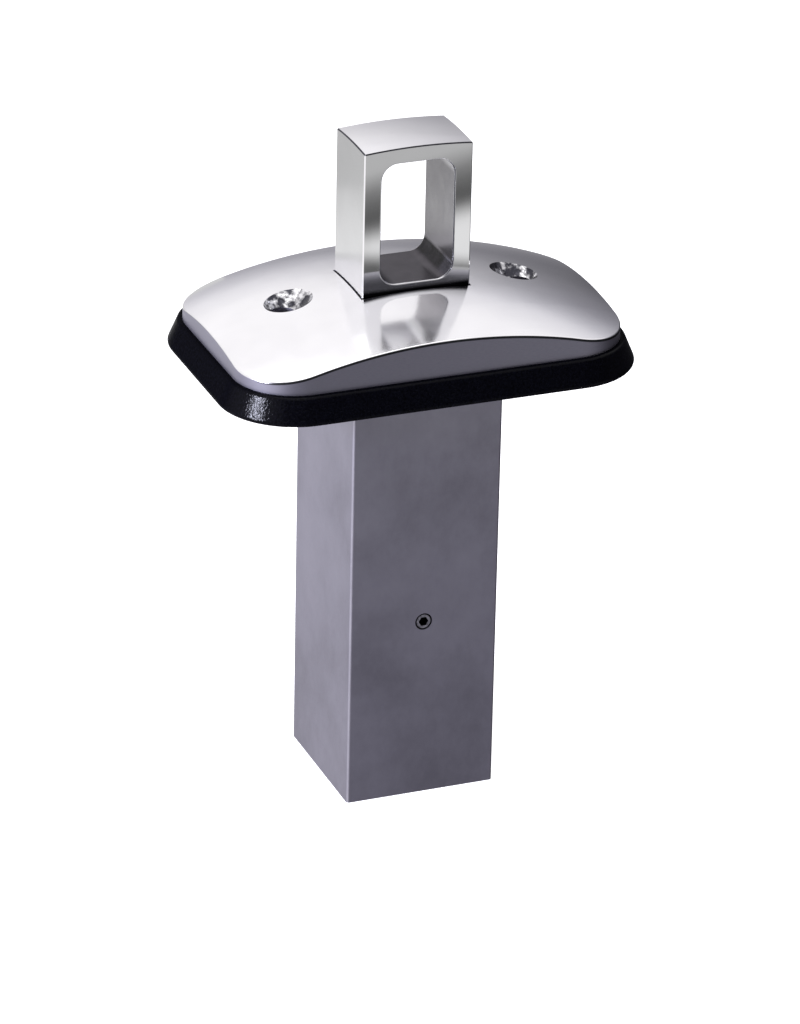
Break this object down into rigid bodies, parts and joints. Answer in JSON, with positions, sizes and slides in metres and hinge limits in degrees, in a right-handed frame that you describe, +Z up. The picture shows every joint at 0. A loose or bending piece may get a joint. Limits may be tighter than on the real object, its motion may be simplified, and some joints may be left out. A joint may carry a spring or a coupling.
{
  "type": "retractable bollard",
  "caption": "Retractable deck bollard: windowed mooring post rising through a domed plate with rubber gasket, spring and latch in a square tube below.",
  "frame": {"origin": "middle of the deck surface, on the underside of the gasket, on the post's centre line", "axes": "+Z up out of the deck along the post's travel; +X along the deck plate's length; -Y is the tube's face that carries the stop screw"},
  "size_m": [0.1912, 0.1292, 0.3045],
  "materials": {
    "polished_steel": "mirror polished stainless steel",
    "satin_steel": "satin brushed stainless steel",
    "gasket_rubber": "semi-gloss moulded rubber with a fine pebbled skin",
    "seal_rubber": "matte rubber",
    "white_acetal": "machined acetal",
    "fastener_steel": "stainless fasteners",
    "spring_steel": "bright spring wire",
    "bronze": "turned bronze"
  },
  "bodies": {
    "housing": {"deck_plate": "polished_steel", "deck_gasket": "gasket_rubber", "housing_tube": "satin_steel", "upper_guide": "white_acetal", "wiper_seal": "seal_rubber", "guide_screws": "fastener_steel", "stop_screw": "fastener_steel", "bottom_plate": "satin_steel", "corner_blocks": "satin_steel", "bottom_screws": "fastener_steel", "bottom_bumpers": "seal_rubber", "spring_rod": "fastener_steel", "rod_screw": "fastener_steel", "spring_seat": "fastener_steel", "return_spring": "spring_steel", "latch_bush": "bronze", "latch_screw": "fastener_steel", "latch_spring": "spring_steel"},
    "bollard": {"bollard_post": "polished_steel", "guide_foot": "white_acetal", "foot_screws": "fastener_steel", "cam_plate": "satin_steel", "cam_screws": "fastener_steel", "upper_buffer": "seal_rubber"},
    "latch": {"latch_arm": "satin_steel", "latch_pin": "fastener_steel"}
  },
  "joints": [
    {"name": "bollard_slide", "type": "slide", "parent": "housing", "child": "bollard", "axis": [0, 0, 1], "range_m": [-0.07, 0], "stiffness_N_per_m": 600, "springref_m": 0.07, "deforming": ["return_spring"]},
    {"name": "latch_swing", "type": "hinge", "parent": "housing", "child": "latch", "pos_m": [-0.007, 0.026, -0.04], "axis": [0, -1, 0], "range_deg": [0, 12], "stiffness_Nm_per_rad": 0.02, "springref_deg": -20.05}
  ]
}
